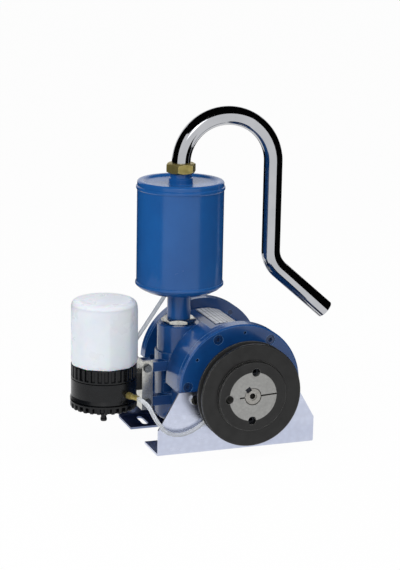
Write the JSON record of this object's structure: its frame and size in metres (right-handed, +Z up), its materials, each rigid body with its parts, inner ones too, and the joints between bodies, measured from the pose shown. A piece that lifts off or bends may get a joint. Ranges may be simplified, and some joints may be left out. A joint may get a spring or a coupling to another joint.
{
  "type": "vacuum pump",
  "caption": "Belt-driven rotary-vane vacuum pump with silencer can, bent chrome exhaust pipe, drip lubricator and sheet base plates.",
  "frame": {"origin": "point on the underside of the front foot, below the shaft axis and in line with that foot's slots", "axes": "+Z up, -Y from the pump towards the pulley, +X to the right seen from the pulley"},
  "size_m": [0.3958, 0.2533, 0.4814],
  "materials": {
    "zinc_sheet": "bright zinc-plated sheet, satin",
    "blue_enamel": "glossy mid-blue enamel",
    "gasket_paper": "pressed gasket paper",
    "black_steel": "blackened steel",
    "zinc_fastener": "bright zinc plating",
    "black_rubber": "nitrile rubber",
    "bearing_steel": "ground and polished",
    "cage_plastic": "moulded polyamide",
    "machined_steel": "turned steel",
    "cast_iron": "machined grey iron",
    "vane_composite": "ground laminate",
    "black_cast_iron": "thin black paint on cast iron",
    "bush_steel": "machined, bare",
    "bare_tube": "bare steel tube",
    "brass": "turned brass",
    "chrome_tube": "polished chrome plating",
    "white_plastic": "translucent white polyethylene",
    "black_plastic": "moulded black plastic",
    "clear_hose": "clear flexible vinyl",
    "plain_aluminium": "bare plate, satin"
  },
  "bodies": {
    "pump": {"front_base_plate": "zinc_sheet", "rear_base_plate": "zinc_sheet", "front_cover": "blue_enamel", "rear_cover": "blue_enamel", "stator": "blue_enamel", "front_gasket": "gasket_paper", "rear_gasket": "gasket_paper", "front_cover_screws": "blue_enamel", "rear_cover_screws": "blue_enamel", "front_base_bolts": "zinc_fastener", "rear_base_bolts": "zinc_fastener", "front_cap_screws": "black_steel", "rear_cap_screws": "black_steel", "front_bearing_cap": "blue_enamel", "rear_bearing_cap": "blue_enamel", "front_shaft_seal": "black_rubber", "front_bearing_outer_ring": "bearing_steel", "rear_bearing_outer_ring": "bearing_steel", "exhaust_stem": "blue_enamel", "stem_locknut": "zinc_fastener", "silencer_shell": "blue_enamel", "silencer_bottom": "blue_enamel", "silencer_top": "blue_enamel", "silencer_core": "bare_tube", "silencer_neck": "blue_enamel", "brass_nut": "brass", "exhaust_pipe": "chrome_tube", "upper_ring": "black_plastic", "oiler_body": "black_plastic", "drain_ring": "black_plastic", "drain_spigot": "black_plastic", "oiler_bracket": "zinc_sheet", "bracket_bolts": "zinc_fastener", "bracket_washers": "zinc_fastener", "oiler_screws": "zinc_fastener", "front_oiler_barb": "brass", "rear_oiler_barb": "brass", "front_hose_fitting": "brass", "rear_hose_fitting": "brass", "front_oil_hose": "clear_hose", "rear_oil_hose": "clear_hose", "nameplate": "plain_aluminium", "nameplate_rivets": "plain_aluminium"},
    "rotor": {"rotor_shaft": "machined_steel", "shaft_key": "machined_steel", "rotor_drum": "cast_iron", "vane_0": "vane_composite", "vane_1": "vane_composite", "vane_2": "vane_composite", "vane_3": "vane_composite", "pulley": "black_cast_iron", "taper_bush": "bush_steel", "bush_screws": "black_steel", "front_bearing_inner_ring": "bearing_steel", "rear_bearing_inner_ring": "bearing_steel"},
    "front_cage": {"front_bearing_cage": "cage_plastic", "front_bearing_balls": "bearing_steel"},
    "rear_cage": {"rear_bearing_cage": "cage_plastic", "rear_bearing_balls": "bearing_steel"},
    "reservoir": {"oil_reservoir": "white_plastic"}
  },
  "joints": [
    {"name": "rotor_spin", "type": "hinge", "parent": "pump", "child": "rotor", "pos_m": [0, 0.062, 0.092], "axis": [0, 1, 0], "continuous": true},
    {"name": "front_cage_spin", "type": "hinge", "parent": "pump", "child": "front_cage", "pos_m": [0, -0.0355, 0.092], "axis": [0, 1, 0], "continuous": true},
    {"name": "rear_cage_spin", "type": "hinge", "parent": "pump", "child": "rear_cage", "pos_m": [0, 0.1585, 0.092], "axis": [0, 1, 0], "continuous": true},
    {"name": "reservoir_lift", "type": "slide", "parent": "pump", "child": "reservoir", "axis": [0, 0, 1], "range_m": [0, 0.11]}
  ],
  "couplings": [
    {"joint": "front_cage_spin", "follows": "rotor_spin", "ratio": 0.3974},
    {"joint": "rear_cage_spin", "follows": "rotor_spin", "ratio": 0.3974}
  ]
}
